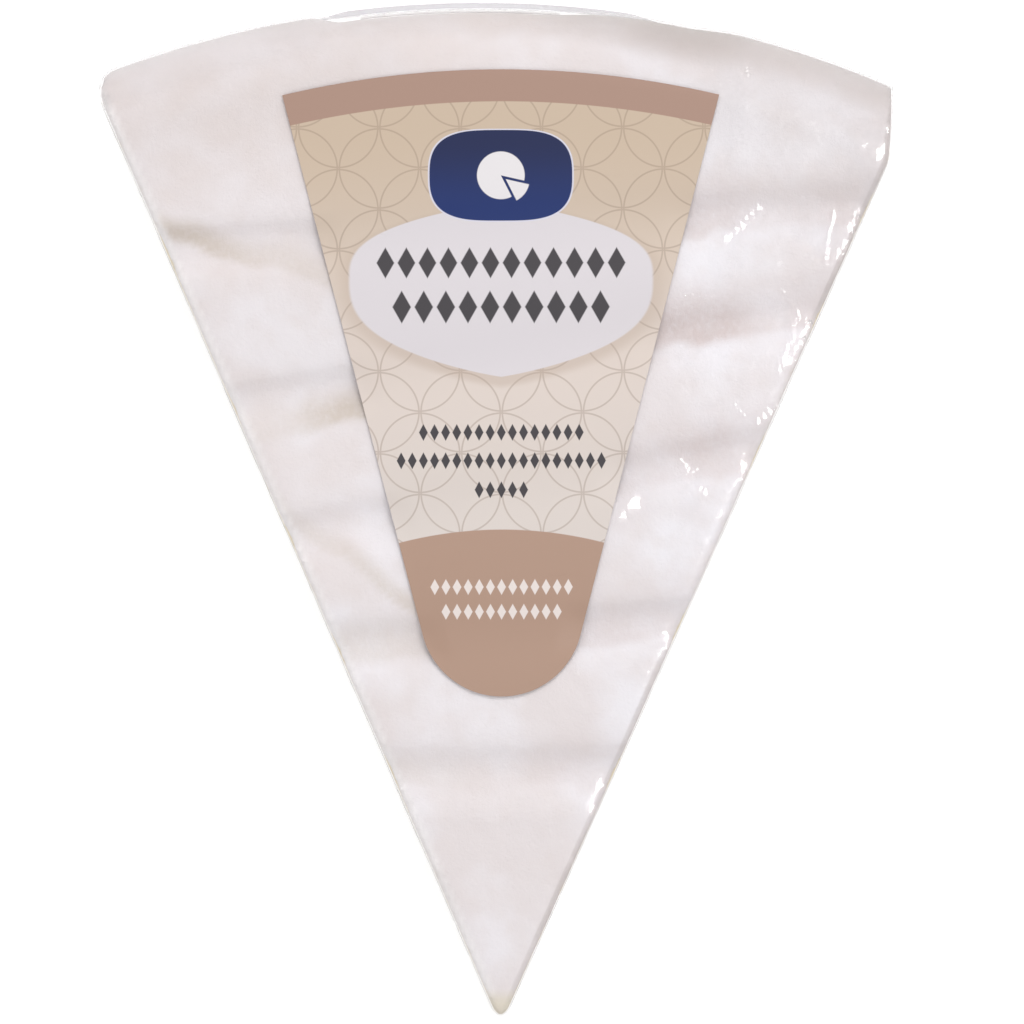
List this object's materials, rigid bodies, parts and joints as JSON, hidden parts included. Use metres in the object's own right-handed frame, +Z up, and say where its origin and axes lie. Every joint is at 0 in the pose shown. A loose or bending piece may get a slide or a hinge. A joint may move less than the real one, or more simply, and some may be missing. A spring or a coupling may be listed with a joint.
{
  "type": "film-wrapped soft-ripened cheese wedge",
  "caption": "Long narrow wedge of soft-ripened white cheese in tight clear film, with a keystone paper label on its rack-marked top.",
  "frame": {"origin": "middle of the wrapped wedge's footprint, on the surface it lies on", "axes": "+Z up out of the labelled top, +Y along the middle of the wedge from the tip to the rind arc, +X to the right as the label is looked at with the rind arc at the top"},
  "size_m": [0.09, 0.115, 0.0323],
  "materials": {
    "cheese": "matte",
    "film": "gloss",
    "label": "satin"
  },
  "bodies": {
    "root": {"cheese": "cheese", "film": "film", "label": "label"}
  },
  "joints": []
}
